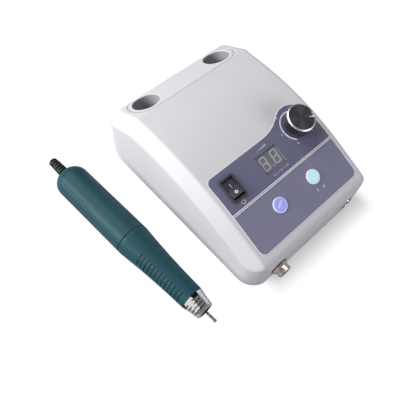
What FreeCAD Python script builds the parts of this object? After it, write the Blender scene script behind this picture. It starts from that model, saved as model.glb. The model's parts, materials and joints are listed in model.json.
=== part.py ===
import FreeCAD, Part
import math
import os
from FreeCAD import Matrix, Placement, Rotation, Vector

# Dental micromotor set: desk control unit with its handpiece lying beside it.
# Millimetres. X to the right of the unit, Y towards its rear, Z up, bench top at Z = 0.
# The unit is drawn with its front face at Y = 0 and its centreline at X = 0; at the end
# everything is shifted so that the origin is the middle of the set's footprint.

# Housing of the control unit
width = 146.0
depth = 212.6
crest_z = 76.9              # flat top at the rear
foot_height = 3.0
wall = 2.5
front_slope = 23.5          # degrees, control panel
crown_radius = 262.0        # rolls the slope into the flat top
top_length = 20.5           # level part of the top, from the crown to the ridge
ridge_setback = 54.5        # from the ridge, where the handpiece rest begins, to the rear wall
rest_slope = 27.0           # degrees, falls to the rear
shoulder_setback = 26.5     # from the shoulder, where the rest ends, to the rear wall
shoulder_radius = 20.0
rear_pitch = 54.0           # degrees, below the shoulder
rear_radius = 15.0
lip_radius = 12.0           # rolls the panel slope into the front face
ridge_radius = 1.0
front_corner = 18.0
rear_corner = 36.0
plan_overhang = 0.3         # the outline in plan passes just outside the flat rear wall
bevel_width = 9.3
bevel_drop = 12.8
edge_round = 2.0            # along both edges of each side bevel

# Clearances
fit = 0.15                  # drop-in parts of one body
running = 0.05              # radial, shaft in bore
seam = 0.3                  # between bodies that don't carry each other

# Base, feet and screws
plate_thickness = 1.5
foot_radius = 6.5
foot_stem = 2.4
foot_inset = 23.0           # from the housing's sides, front and rear
screw_inset = (11.5, 9.0)   # from the sides, front pair and rear pair
screw_setback = (37.5, 45.0)
screw_shank = 1.5
screw_head = 2.8
screw_head_height = 1.8
screw_length = 14.0
boss_radius = 4.0
vent_margin = 3.2           # from the transformer and from the plate's edge
vent_width = 3.0
vent_count = 7
vent_pitch = 8.0

# Handpiece rest
well_radius = 12.7
well_depth = 55.0
well_spacing = 84.0
cup_wall = 1.5
rest_radius = 17.1
rest_setback = 17.35        # along the slope, from the ridge
rest_thickness = 2.5
rest_ledge = 2.2
rest_gap = 0.45             # fine joint that shows round the insert
well_edge = 0.6

# Control panel
panel_margin = 3.8          # from the side bevels
panel_front = 8.95
panel_rear = 79.45
panel_corner = 6.0
lobe_radius = 18.7          # round the speed knob
lobe_sweep = 45.0           # hollow curve that leads up to the lobe
frame_width = 0.45
film_recess = 0.4
film_proud = 0.2
frame_proud = 0.3
divider_y = 45.6
divider_width = 2.2
divider_proud = 0.5

# Speed knob and potentiometer
knob_inset = 20.35          # from the panel's side
knob_y = 72.04
knob_radius = 12.2
knob_rim = 12.9
knob_height = 14.2
knob_gap = 0.6
knob_dish = 0.4
pointer_angle = 120.0       # clockwise from the rear, as set in the photograph
pointer_start = 7.2
pointer_width = 1.2
pot_shaft_radius = 3.0
pot_flat = 1.5
pot_bush = 3.5
pot_bush_height = 4.0
pot_body = 8.0
pot_body_depth = 9.0
pot_nut_flats = 10.0
pot_nut_height = 2.0

# Power rocker
rocker_inset = 15.1         # from the panel's side
rocker_y = 62.9
rocker_flange = (15.0, 21.0, 1.8)
rocker_body = (12.9, 19.2, 15.0)
rocker_size = (10.6, 15.8)
rocker_window = (11.2, 17.4)
rocker_rise = 2.0
rocker_sag = 0.2            # the middle of its face lies this much below half its rise
rocker_tilt = 12.0
rocker_pin = 1.0
rocker_depth = 8.0

# Display
display_x = -1.0
display_y = 62.1
display_size = (24.0, 17.0)
module_size = (25.4, 19.6, 6.5)
lens_thickness = 0.9
digit_height = 12.6
digit_width = 7.0
digit_pitch = 12.4
segment_width = 1.25
segment_rise = 0.25
digit_slant = 5.0           # degrees

# Push buttons
button_y = 30.6
button_x = (-20.4, 20.9)
button_radius = 5.7
button_ring = 6.65
button_ring_rise = 0.9
button_rise = 1.3
button_travel = 0.5
button_flange = 7.0

# Boards
board_thickness = 1.6
key_board = (76.0, 18.0)
key_board_depth = 9.0
display_board = (48.0, 30.0)
post_radius = 2.5
stake_radius = 1.2
stake_inset = 3.5           # from the ends of each board

# Front sockets
spot_face = 10.0            # flat seats behind the front wall, near its rounded corners
socket_inset = 28.0         # from the housing's left side
socket_z = 20.0
socket_flange = 7.85
socket_thread = 6.5
socket_reach = 8.0
socket_bore = 4.9
socket_back = 12.0
gasket_radius = 8.3
gasket_thickness = 0.8
socket_pin_radius = 0.6
jack_inset = 26.5           # from the housing's right side
jack_bore = 3.2
jack_bush = 4.8
jack_bush_rise = 0.3
jack_nut_radius = 6.6
jack_nut_height = 0.8
jack_body = (13.0, 14.0, 24.0)

# Rear sockets
inlet_x = -14.0
inlet_z = 13.0
inlet_flange = (26.0, 15.5, 1.8)
inlet_body = (21.4, 11.4, 15.0)
inlet_pin_pitch = 8.6
inlet_lobe = 4.3
inlet_pin = 1.2
inlet_depth = 11.0
fuse_x = 12.0
fuse_bush = 4.6
fuse_flange = 6.2
fuse_flange_height = 1.0
fuse_cap_radius = 5.2
fuse_cap_height = 1.8
fuse_plug = 6.0
fuse_bore = 3.2
fuse_radius = 2.6
fuse_length = 20.0

# Power supply inside
transformer_y = 95.6
core_size = (60.0, 24.0, 48.0)
core_leg = 18.0
core_yoke = 9.0
coil_bulge = 9.0
supply_board = (46.0, 40.0)
supply_x = 33.0
supply_y = 47.6
standoff_height = 6.0
standoff_radius = 2.5

# Handpiece: distances run along its axis from the tail towards the nose
hand_radius = 15.4
hand_wall = 1.8
tail_wall = 3.0
hand_tail = -12.0
hand_tail_round = 13.0
hand_seam = 79.0
shoulder_end = 82.5
grip_waist = 108.0
grip_waist_radius = 13.0
grip_mid = 132.0
grip_mid_radius = 11.5
grip_end = 152.0
grip_end_radius = 10.8
grip_bore_step = 96.0
spigot_radius = 12.1
tube_radius = 9.3
groove_count = 13
groove_pitch = 3.78
groove_first = 100.0
groove_width = 1.5
groove_depth = 0.7
groove_span = 11.4          # along the curve
groove_edge = 24.0          # degrees left of the top line, where the first group starts
nose_length = 15.2
nose_radius = 10.4
nose_tip_radius = 8.2
nose_bore = 4.6
nose_flat = 0.9             # depth of the two spanner flats
nose_flat_turn = 128.0      # degrees left of the top line
thread_radius = 8.6
thread_length = 5.5
collet_radius = 2.55
shank_radius = 1.175        # 2.35 mm dental shank
shank_tip = 179.0
shank_groove = 0.25         # depth mark at the collet's mouth
shank_head = 0.2            # the blank's end is this much thicker
spindle_radius = 4.0
motor_shaft_radius = 2.5
bearing_radius = 8.0
bearing_width = 5.0
rear_bearing_radius = 6.5
rear_bearing_width = 4.0
bell_length = 11.8
yoke_start = 14.0
yoke_end = 62.0
yoke_wall = 1.6
magnet_wall = 2.4
rotor_radius = 8.8
rotor_slots = 7
commutator_radius = 4.5
brush_width = 2.6
cam_start = 84.5
cam_length = 7.0
cam_radius = 11.9
cam_pin = 1.2
cam_throw = 1.2
cam_gap = 1.0
cam_pin_reach = 12.9
grip_twist = 45.0
relief_length = 19.0
relief_base = 5.0
relief_tip = 4.1
relief_core = 3.0
relief_flange = 6.6
relief_slots = 6
relief_slot = 1.5
cord_bore = 2.2
hand_tail_x = -124.7        # where the axis starts, beside the unit
hand_tail_y = 180.6
hand_heading = 3.14         # degrees that the nose points in towards the unit


def tan(angle):
    return math.tan(math.radians(angle))


def sin(angle):
    return math.sin(math.radians(angle))


def cos(angle):
    return math.cos(math.radians(angle))


def rounded_wire(corners):
    """Closed wire through (point, radius) corners, each rounded by a tangent arc."""
    points = [Vector(*point) for point, _ in corners]
    ends = []
    for i, (_, radius) in enumerate(corners):
        corner = points[i]
        back = (points[i - 1] - corner).normalize()
        ahead = (points[(i + 1) % len(points)] - corner).normalize()
        if radius <= 0:
            ends.append((corner, None, corner))
            continue
        half = back.getAngle(ahead) / 2
        middle = (back + ahead).normalize()
        run = radius / math.tan(half)
        crown = corner + middle * (radius / math.sin(half) - radius)
        ends.append((corner + back * run, crown, corner + ahead * run))
    edges = []
    for i, (start, crown, end) in enumerate(ends):
        if crown:
            edges.append(Part.Arc(start, crown, end).toShape())
        following = ends[(i + 1) % len(ends)][0]
        if (following - end).Length > 1e-6:
            edges.append(Part.LineSegment(end, following).toShape())
    return Part.Wire(edges)


def rounded_plate(size_x, size_y, corner, z0, z1):
    half_x, half_y = size_x / 2, size_y / 2
    places = [(-half_x, -half_y), (half_x, -half_y), (half_x, half_y), (-half_x, half_y)]
    wire = rounded_wire([((x, y, z0), corner) for x, y in places])
    return Part.Face(wire).extrude(Vector(0, 0, z1 - z0))


def block(size_x, size_y, z0, z1, x=0.0, y=0.0):
    return Part.makeBox(size_x, size_y, z1 - z0, Vector(x - size_x / 2, y - size_y / 2, z0))


def rod(radius, z0, z1, x=0.0, y=0.0):
    return Part.makeCylinder(radius, z1 - z0, Vector(x, y, z0))


def tube(outer, inner, z0, z1, x=0.0, y=0.0):
    return rod(outer, z0, z1, x, y).cut(rod(inner, z0, z1, x, y))


def cross_rod(radius, length):
    """Rod along X, centred on the origin."""
    return Part.makeCylinder(radius, length, Vector(-length / 2, 0, 0), Vector(1, 0, 0))


def hexagon(flats, z0, z1):
    corners = [(flats / math.sqrt(3) * cos(60 * i), flats / math.sqrt(3) * sin(60 * i), z0) for i in range(7)]
    return Part.Face(Part.makePolygon([Vector(*corner) for corner in corners])).extrude(Vector(0, 0, z1 - z0))


def revolved(outline):
    """Solid turned round Z from (radius, z) points."""
    points = [Vector(radius, 0, z) for radius, z in outline]
    return Part.Face(Part.makePolygon(points + points[:1])).revolve(Vector(), Vector(0, 0, 1), 360)


def fuse(shapes):
    return shapes[0].fuse(shapes[1:]).removeSplitter() if len(shapes) > 1 else shapes[0]


def moved(shape, placement):
    result = shape.copy()
    result.Placement = placement.multiply(result.Placement)
    return result


# Housing form

ridge_y = depth - ridge_setback
shoulder_y = depth - shoulder_setback
crest_y = ridge_y - top_length
brow_y = crest_y - crown_radius * tan(front_slope / 2)
lip_z = crest_z - brow_y * tan(front_slope)
shoulder_z = crest_z - (shoulder_y - ridge_y) * tan(rest_slope)
rear_z = shoulder_z - shoulder_setback * tan(rear_pitch)
bevel_angle = math.degrees(math.atan2(bevel_drop, bevel_width))
panel_half = width / 2 - bevel_width - panel_margin
knob_x = panel_half - knob_inset
rocker_x = rocker_inset - panel_half
socket_x = socket_inset - width / 2
jack_x = width / 2 - jack_inset
foot_x = width / 2 - foot_inset
foot_places = [(side * foot_x, y) for y in (foot_inset, depth - foot_inset) for side in (-1, 1)]
screw_rows = zip(screw_inset, (screw_setback[0], depth - screw_setback[1]))
screw_places = [(side * (width / 2 - inset), y) for inset, y in screw_rows for side in (-1, 1)]


def surface(y):
    """Height and slope in degrees of the panel surface at y."""
    if y >= crest_y:
        return crest_z, 0.0
    slope = math.degrees(math.asin((crest_y - y) / crown_radius))
    if slope > front_slope:
        return crest_z - (brow_y - y) * tan(front_slope), front_slope
    return crest_z - crown_radius * (1 - cos(slope)), slope


def profile(offset, base_z=foot_height):
    """Side view of the housing as a face in the YZ plane, grown by offset."""
    corners = [((0, 0, base_z), 0), ((0, 0, lip_z), lip_radius), ((0, brow_y, crest_z), crown_radius),
               ((0, ridge_y, crest_z), ridge_radius), ((0, shoulder_y, shoulder_z), shoulder_radius),
               ((0, depth, rear_z), rear_radius), ((0, depth, base_z), 0)]
    face = Part.Face(rounded_wire(corners))
    return face.makeOffset2D(offset) if offset else face


def plan(inset, z0, z1, overhang=0.0):
    """Outline of the housing seen from above, shrunk by inset, as a prism."""
    half, front, rear = width / 2 - inset, inset - overhang, depth + overhang - inset
    corners = [((-half, front, z0), front_corner - inset), ((half, front, z0), front_corner - inset),
               ((half, rear, z0), rear_corner - inset), ((-half, rear, z0), rear_corner - inset)]
    return Part.Face(rounded_wire(corners)).extrude(Vector(0, 0, z1 - z0))


def housing_form(inset):
    """Solid form of the housing: crowned middle with a sloping bevel down each side."""
    base = foot_height if inset == 0 else -wall
    face = profile(-inset, base - 3 * wall if inset else base)
    flat_half = width / 2 - bevel_width - inset * tan(bevel_angle / 2)
    middle = face.copy()
    middle.translate(Vector(-flat_half, 0, 0))
    middle = middle.extrude(Vector(2 * flat_half, 0, 0))
    flanks = []
    for side in (-1, 1):
        flank = face.copy()
        flank.translate(Vector(side * flat_half, 0, 0))
        flanks.append(flank.extrude(Vector(side * 2 * bevel_width, 0, -2 * bevel_drop)))
    form = middle.fuse(flanks).removeSplitter()
    return form.common(plan(inset, base, 2 * crest_z, plan_overhang)).removeSplitter()


def round_bevel(form):
    """Rounds every edge of the side bevels that doesn't run straight across."""
    middle = width - 2 * rear_corner
    chain = [edge for edge in form.Edges
             if edge.BoundBox.ZMin > foot_height + 1
             and edge.BoundBox.YLength > 0.01
             and edge.BoundBox.XLength < middle]
    return form.makeFillet(edge_round, chain)


def skin(low, high, outline):
    """Layer between two offsets of the housing surface, within a plan outline."""
    layer = profile(high).cut(profile(low))
    layer.translate(Vector(-width / 2, 0, 0))
    return layer.extrude(Vector(width, 0, 0)).common(outline)


def panel_frame_at(x, y, lift=0.0):
    """Local axes on the panel: Z out of the surface, Y up the slope."""
    height, slope = surface(y)
    at = Placement(Vector(x, y, height), Rotation(Vector(1, 0, 0), slope))
    return at.multiply(Placement(Vector(0, 0, lift), Rotation()))


def front_frame_at(x, z):
    """Local axes on the front face: Z straight out of it, Y up it."""
    return Placement(Vector(x, 0, z), Rotation(Vector(1, 0, 0), 90))


def rear_frame_at(x, z):
    """Local axes on the rear wall: Z straight out of it, Y up, X to the unit's left."""
    turned = Rotation(Vector(0, 0, 1), 180).multiply(Rotation(Vector(1, 0, 0), 90))
    return Placement(Vector(x, depth, z), turned)


rest_y = ridge_y + rest_setback * cos(rest_slope)
rest_z = crest_z - rest_setback * sin(rest_slope)
rest_frame = Placement(Vector(0, rest_y, rest_z), Rotation(Vector(1, 0, 0), -rest_slope))
well_offsets = (-well_spacing / 2, well_spacing / 2)


def stadium(radius, z0, z1):
    """Slot-shaped prism round both wells, in the rest's own axes."""
    ends = [rod(radius, z0, z1, x) for x in well_offsets]
    return fuse([block(well_spacing, 2 * radius, z0, z1)] + ends)


# Control panel outline

def panel_outline(inset, y_low=0.0, y_high=depth):
    """Prism over the panel's outline: straight front, lobe round the knob at the right."""
    half = panel_half - inset
    front, rear = panel_front + inset, panel_rear - inset
    corner = panel_corner - inset
    lobe = lobe_radius - inset
    sweep = lobe_sweep + inset
    lobe_x, lobe_y = half - lobe, knob_y
    rise = rear + sweep - lobe_y
    sweep_x = lobe_x - math.sqrt((sweep + lobe) ** 2 - rise ** 2)
    joint = Vector(sweep_x - lobe_x, rise, 0).normalize() * lobe + Vector(lobe_x, lobe_y, 0)
    sweep_mid = bulge_point(Vector(sweep_x, rear, 0), joint, Vector(sweep_x, rear + sweep, 0), sweep)
    lobe_mid = bulge_point(joint, Vector(half, lobe_y, 0), Vector(lobe_x, lobe_y, 0), lobe)
    turn = corner * (1 - math.sqrt(0.5))
    edges = [
        Part.LineSegment(Vector(-half, rear - corner, 0), Vector(-half, front + corner, 0)),
        Part.Arc(Vector(-half, front + corner, 0), Vector(turn - half, front + turn, 0),
                 Vector(corner - half, front, 0)),
        Part.LineSegment(Vector(corner - half, front, 0), Vector(half - corner, front, 0)),
        Part.Arc(Vector(half - corner, front, 0), Vector(half - turn, front + turn, 0),
                 Vector(half, front + corner, 0)),
        Part.LineSegment(Vector(half, front + corner, 0), Vector(half, lobe_y, 0)),
        Part.Arc(Vector(half, lobe_y, 0), lobe_mid, joint),
        Part.Arc(joint, sweep_mid, Vector(sweep_x, rear, 0)),
        Part.LineSegment(Vector(sweep_x, rear, 0), Vector(corner - half, rear, 0)),
        Part.Arc(Vector(corner - half, rear, 0), Vector(turn - half, rear - turn, 0),
                 Vector(-half, rear - corner, 0)),
    ]
    prism = Part.Face(Part.Wire([edge.toShape() for edge in edges])).extrude(Vector(0, 0, crest_z))
    prism.translate(Vector(0, 0, lip_z))
    return prism.common(Part.makeBox(width, y_high - y_low, 2 * crest_z, Vector(-width / 2, y_low, 0)))


def bulge_point(start, end, centre, radius):
    """Middle of the shorter arc from start to end round centre."""
    return centre + ((start + end) / 2 - centre).normalize() * radius


# Openings that several parts share

def panel_cutters():
    """Holes through the panel film and the cover, in unit axes."""
    low, high = -4 * wall, 2 * wall
    rocker_hole = block(rocker_body[0] + fit, rocker_body[1] + fit, low, high)
    display_hole = block(display_size[0] + fit, display_size[1] + fit, low, high)
    holes = [moved(rocker_hole, panel_frame_at(rocker_x, rocker_y)),
             moved(display_hole, panel_frame_at(display_x, display_y)),
             moved(rod(pot_bush + fit, low, high), panel_frame_at(knob_x, knob_y))]
    holes += [moved(rod(button_radius + fit, low, high), panel_frame_at(x, button_y)) for x in button_x]
    return holes


def board_post(board, drop, side):
    """Post with a thinner stake that a board is riveted on."""
    x = side * (board[0] / 2 - stake_inset)
    return fuse([rod(post_radius, -drop, -wall / 2, x), rod(stake_radius, -drop - 2, 0, x)])


def make_top_cover():
    form = round_bevel(housing_form(0))
    inside = housing_form(wall)
    cover = form.cut(inside)
    bosses = [rod(boss_radius, foot_height + plate_thickness, 2 * crest_z, x, y) for x, y in screw_places]
    pad = moved(stadium(rest_radius + wall, -rest_thickness - rest_ledge, 0), rest_frame)
    cover = cover.fuse([boss.common(form) for boss in bosses] + [pad.common(form)])
    key_frame = panel_frame_at(0, button_y)
    display_frame = panel_frame_at(display_x, display_y)
    stakes = []
    for side in (-1, 1):
        stakes.append(moved(board_post(key_board, key_board_depth, side), key_frame))
        stakes.append(moved(board_post(display_board, module_drop, side), display_frame))
    cover = cover.fuse([stake.common(form) for stake in stakes])
    pilots = [rod(screw_shank, foot_height, foot_height + screw_length, x, y) for x, y in screw_places]
    recess = skin(-film_recess, 2 * film_proud + wall, panel_outline(0))
    rest = [moved(stadium(rest_radius, -rest_thickness, wall), rest_frame)]
    rest += [moved(rod(well_radius + cup_wall + fit, -4 * wall, wall, x), rest_frame) for x in well_offsets]
    nut_seat = rod(spot_face, -2 * wall, -wall)
    inlet_hole = block(inlet_body[0] + fit, inlet_body[1] + fit, -2 * wall, wall)
    sockets = [moved(rod(socket_thread + fit, -2 * wall, wall), front_frame_at(socket_x, socket_z)),
               moved(rod(jack_bush + fit, -2 * wall, wall), front_frame_at(jack_x, socket_z)),
               moved(nut_seat, front_frame_at(socket_x, socket_z)),
               moved(nut_seat, front_frame_at(jack_x, socket_z)),
               moved(inlet_hole, rear_frame_at(inlet_x, inlet_z)),
               moved(rod(fuse_bush + fit, -2 * wall, wall), rear_frame_at(fuse_x, inlet_z))]
    return cover.cut(pilots + [recess] + rest + panel_cutters() + sockets)


def make_base_plate():
    inset = wall + fit
    plate = plan(inset, foot_height, foot_height + plate_thickness)
    cuts = [rod(foot_stem, 0, crest_z, x, y) for x, y in foot_places]
    cuts += [rod(screw_shank, 0, crest_z, x, y) for x, y in screw_places]
    vent_length = width / 2 - inset - core_size[0] / 2 - 2 * vent_margin
    vent_x = (core_size[0] + vent_length) / 2 + vent_margin
    for i in range(vent_count):
        y = transformer_y + (i - (vent_count - 1) / 2) * vent_pitch
        for side in (-1, 1):
            slot = rounded_plate(vent_length, vent_width, vent_width / 2 - 0.01, 0, crest_z)
            cuts.append(slot.translated(Vector(side * vent_x, y, 0)))
    plate = plate.cut(cuts)
    top = foot_height + plate_thickness
    posts = [rod(standoff_radius, top, top + standoff_height, x, y) for x, y in supply_corners()]
    return plate.fuse(posts).removeSplitter()


def supply_corners():
    half_x, half_y = supply_board[0] / 2 - 4, supply_board[1] / 2 - 4
    return [(supply_x + i * half_x, supply_y + j * half_y) for i in (-1, 1) for j in (-1, 1)]


def make_feet():
    top = foot_height + plate_thickness
    outline = [(0, 0), (foot_radius - 1, 0), (foot_radius, 0.8), (foot_radius, foot_height),
               (foot_stem, foot_height), (foot_stem, top), (foot_stem + 0.8, top),
               (foot_stem - 0.6, top + 2.5), (0, top + 2.5)]
    foot = revolved(outline)
    return [foot.translated(Vector(x, y, 0)) for x, y in foot_places]


def make_housing_screws():
    head = foot_height - screw_head_height
    shank = rod(screw_shank, foot_height, foot_height + screw_length - 1)
    screw = fuse([rod(screw_head, head, foot_height), shank])
    screw = screw.makeChamfer(0.5, [edge for edge in screw.Edges if edge.BoundBox.ZMax < head + 0.01])
    slots = [block(3.2, 0.7, head - 1, head + 0.9), block(0.7, 3.2, head - 1, head + 0.9)]
    screw = screw.cut(slots)
    return [screw.translated(Vector(x, y, 0)) for x, y in screw_places]


def make_cradle_plate():
    """Insert with the two wells; its rear edge follows the roll of the shoulder."""
    top = profile(0)
    top.translate(Vector(-width / 2, 0, 0))
    plate = moved(stadium(rest_radius - rest_gap, -rest_thickness, wall), rest_frame)
    plate = plate.common(top.extrude(Vector(width, 0, 0)))
    mouths = [rod(well_radius, -2 * rest_thickness, wall, x) for x in well_offsets]
    plate = plate.cut([moved(mouth, rest_frame) for mouth in mouths])
    rims = [edge for edge in plate.Edges if edge.Curve.TypeId == "Part::GeomCircle"
            and abs(edge.Curve.Radius - well_radius) < 0.01
            and rest_frame.inverse().multVec(edge.CenterOfMass).z > -0.01]
    return plate.makeFillet(well_edge, rims)


def make_cradle_cups():
    foot = -rest_thickness - well_depth
    cup = rod(well_radius + cup_wall, foot - cup_wall, -rest_thickness)
    cup = cup.makeFillet(3.0, [edge for edge in cup.Edges if edge.BoundBox.ZMax < foot])
    cup = cup.cut(rod(well_radius, foot, 0))
    return [moved(cup.translated(Vector(x, 0, 0)), rest_frame) for x in well_offsets]


# Panel parts

def make_panel_frame():
    return skin(-film_recess, frame_proud, panel_outline(0).cut(panel_outline(frame_width)))


def make_film(y_low, y_high):
    return skin(-film_recess, film_proud, panel_outline(frame_width, y_low, y_high)).cut(panel_cutters())


def make_divider_strip():
    half_bar = divider_width / 2
    bar = panel_outline(frame_width, divider_y - half_bar, divider_y + half_bar)
    return skin(-film_recess, divider_proud, bar)


module_top = -wall / 2
module_drop = -module_top + module_size[2]


def make_display_module():
    step = -wall - seam
    neck = block(display_size[0] - fit, display_size[1] - fit, step, module_top)
    body = block(module_size[0], module_size[1], module_top - module_size[2], step)
    pins = [rod(0.3, -module_drop - board_thickness - 1, -module_drop, x * 2.54, y)
            for x in range(-4, 5, 2) for y in (-module_size[1] / 2 + 2, module_size[1] / 2 - 2)]
    return moved(fuse([neck, body] + pins), panel_frame_at(display_x, display_y))


def make_display_window():
    lens = block(display_size[0], display_size[1], module_top + segment_rise + 0.1,
                 module_top + segment_rise + 0.1 + lens_thickness)
    return moved(lens, panel_frame_at(display_x, display_y))


def bar_segment(length, upright):
    """One bar of a digit, with pointed ends, centred on the origin."""
    half, nose = length / 2, segment_width / 2
    corners = [(-half, 0), (nose - half, -nose), (half - nose, -nose),
               (half, 0), (half - nose, nose), (nose - half, nose)]
    if upright:
        corners = [(-y, x) for x, y in corners]
    points = [Vector(x, y, module_top) for x, y in corners]
    return Part.Face(Part.makePolygon(points + points[:1])).extrude(Vector(0, 0, segment_rise))


def make_display_segments():
    reach_x = (digit_width - segment_width) / 2
    reach_y = (digit_height - segment_width) / 2
    gap = 0.2
    bars = []
    for digit in (-1, 1):
        middle = digit * digit_pitch / 2
        for y in (-reach_y, 0, reach_y):
            bars.append(bar_segment(2 * reach_x - gap, False).translated(Vector(middle, y, 0)))
        for x in (-reach_x, reach_x):
            for y in (-reach_y / 2, reach_y / 2):
                bars.append(bar_segment(reach_y - gap, True).translated(Vector(middle + x, y, 0)))
    bars.append(rod(segment_width / 2, module_top, module_top + segment_rise, 0.0, -reach_y))
    lean_over = Matrix()
    lean_over.A12 = tan(digit_slant)
    place = panel_frame_at(display_x, display_y)
    return [moved(bar.transformGeometry(lean_over), place) for bar in bars]


def make_board(size, place, drop, holes):
    board = rounded_plate(size[0], size[1], 1.5, -drop - board_thickness, -drop)
    return moved(board.cut(holes), place)


def make_key_board():
    stake_x = key_board[0] / 2 - stake_inset
    holes = [rod(stake_radius, -2 * key_board_depth, 0, side * stake_x) for side in (-1, 1)]
    return make_board(key_board, panel_frame_at(0, button_y), key_board_depth, holes)


def make_display_board():
    stake_x = display_board[0] / 2 - stake_inset
    holes = [rod(stake_radius, -2 * module_drop, 0, side * stake_x) for side in (-1, 1)]
    holes += [rod(0.3, -2 * module_drop, 0, x * 2.54, y)
              for x in range(-4, 5, 2) for y in (-module_size[1] / 2 + 2, module_size[1] / 2 - 2)]
    return make_board(display_board, panel_frame_at(display_x, display_y), module_drop, holes)


button_foot = -wall - seam - 1.2


def make_button(x):
    cap = rod(button_radius, button_foot, button_rise)
    cap = cap.makeFillet(0.5, [edge for edge in cap.Edges if edge.BoundBox.ZMin > button_rise - 0.01])
    return moved(fuse([cap, rod(button_flange, button_foot, button_foot + 1.2)]), panel_frame_at(x, button_y))


def make_button_rings():
    ring = tube(button_ring, button_radius + 0.1, film_proud, film_proud + button_ring_rise)
    ring = ring.makeChamfer(0.3, [edge for edge in ring.Edges if edge.BoundBox.ZMin > film_proud + 0.1
                                  and edge.BoundBox.XMax > button_ring - 0.1])
    return [moved(ring, panel_frame_at(x, button_y)) for x in button_x]


def make_tact_switches():
    gap = button_travel + 0.1
    body = block(6.0, 6.0, -key_board_depth, -key_board_depth + 2.4)
    switch = fuse([body, rod(1.75, -key_board_depth, button_foot - gap)])
    return [moved(switch, panel_frame_at(x, button_y)) for x in button_x]


# Power rocker

rocker_frame_at = panel_frame_at(rocker_x, rocker_y, film_proud)


def make_rocker_frame():
    flange_x, flange_y, flange_z = rocker_flange
    flange = rounded_plate(flange_x, flange_y, 1.0, 0, flange_z)
    flange = flange.makeChamfer(0.5, [edge for edge in flange.Edges if edge.BoundBox.ZMin > flange_z - 0.01])
    frame = flange.fuse(block(rocker_body[0], rocker_body[1], -rocker_body[2], 0))
    window_x, window_y = rocker_window
    frame = frame.cut([block(window_x, window_y, -rocker_depth, 2 * flange_z),
                       cross_rod(rocker_pin + running, rocker_body[0] * 2).common(
                           block(rocker_body[0] - 0.4, rocker_body[1], -rocker_depth, flange_z))])
    tags = [block(0.8, 4.8, -rocker_body[2] - 8, -rocker_body[2], y=y) for y in (-5.5, 5.5)]
    return moved(fuse([frame.removeSplitter()] + tags), rocker_frame_at)


def make_rocker():
    half_x, half_y = rocker_size[0] / 2, rocker_size[1] / 2
    corners = [(-half_y, rocker_rise), (0, rocker_rise / 2 - rocker_sag), (half_y, rocker_rise),
               (half_y - 1.2, -2.0), (3.0, -5.0), (-3.0, -5.0), (1.2 - half_y, -2.0)]
    points = [Vector(-half_x, y, z) for y, z in corners]
    body = Part.Face(Part.makePolygon(points + points[:1])).extrude(Vector(2 * half_x, 0, 0))
    rims = [edge for edge in body.Edges if edge.BoundBox.ZMin > 0 and edge.BoundBox.XLength < 0.01]
    body = body.makeFillet(0.5, rims)
    body = body.fuse(cross_rod(rocker_pin, rocker_body[0] - 0.8)).removeSplitter()
    pressed = Placement(Vector(), Rotation(Vector(1, 0, 0), -rocker_tilt))
    return moved(moved(body, pressed), rocker_frame_at)


# Speed knob

knob_frame = panel_frame_at(knob_x, knob_y)


def make_speed_knob():
    top = knob_height
    outline = [(0, knob_gap), (knob_radius, knob_gap), (knob_radius, top - 2.6), (knob_rim, top - 1.8),
               (knob_rim, top - 0.9), (knob_rim - 1.0, top), (knob_rim - 1.3, top),
               (knob_rim - 1.5, top - knob_dish), (0, top - knob_dish)]
    knob = revolved(outline)
    hollow = rod(pot_nut_flats * 0.7, 0, pot_bush_height + knob_gap)
    bore = pot_spindle(0, top - 3.0)
    notch = block(knob_rim, pointer_width, top - knob_dish - 0.5, 2 * top, x=pointer_start + knob_rim / 2)
    notch = moved(notch, Placement(Vector(), Rotation(Vector(0, 0, 1), 90 - pointer_angle)))
    return moved(knob.cut([hollow, bore, notch]), knob_frame)


def pot_spindle(z0, z1):
    """Shaft with its flat, pointing with the knob's pointer."""
    flat = block(2 * pot_shaft_radius, 2 * pot_shaft_radius, pot_bush_height + 0.2, 2 * knob_height,
                 x=pot_flat + pot_shaft_radius)
    shaft = rod(pot_shaft_radius, z0, z1).cut(flat)
    return moved(shaft, Placement(Vector(), Rotation(Vector(0, 0, 1), 90 - pointer_angle)))


def make_pot_shaft():
    return moved(pot_spindle(-wall - 2.0, knob_height - 3.0), knob_frame)


def make_potentiometer():
    low = -wall - seam - pot_body_depth
    body = fuse([rod(pot_body, low, -wall - seam), rod(pot_bush, -wall - seam, pot_bush_height),
                 block(12.0, 7.0, low, low + 1.6, y=-pot_body - 2)])
    body = body.cut(rod(pot_shaft_radius + running, -wall - 2.0 - running, 2 * wall))
    return moved(body, knob_frame)


def make_pot_nut():
    nut = hexagon(pot_nut_flats, film_proud, film_proud + pot_nut_height)
    return moved(nut.cut(rod(pot_bush, 0, 2 * wall)), knob_frame)


# Front sockets

socket_frame = front_frame_at(socket_x, socket_z)
jack_frame = front_frame_at(jack_x, socket_z)


def make_socket_shell():
    seat = gasket_thickness
    root = socket_thread - 0.3
    outline = [(0, -socket_back), (socket_thread, -socket_back), (socket_thread, seat), (socket_flange, seat),
               (socket_flange, seat + 1.5), (socket_flange - 0.6, seat + 2.0), (root, seat + 2.0)]
    thread_start = seat + 2.6
    turns = 4
    pitch = (socket_reach - 0.5 - thread_start) / turns
    for z in [thread_start + i * pitch for i in range(turns)]:
        outline += [(root, z), (socket_thread, z + pitch / 2)]
    outline += [(root, socket_reach - 0.5), (root - 0.5, socket_reach), (0, socket_reach)]
    shell = revolved(outline)
    return moved(shell.cut(rod(socket_bore, 1 - socket_back, 2 * socket_reach)), socket_frame)


def make_socket_gasket():
    return moved(tube(gasket_radius, socket_thread, 0, gasket_thickness), socket_frame)


pin_places = [(2.6 * cos(90 + 120 * i), 2.6 * sin(90 + 120 * i)) for i in range(3)]


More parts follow.
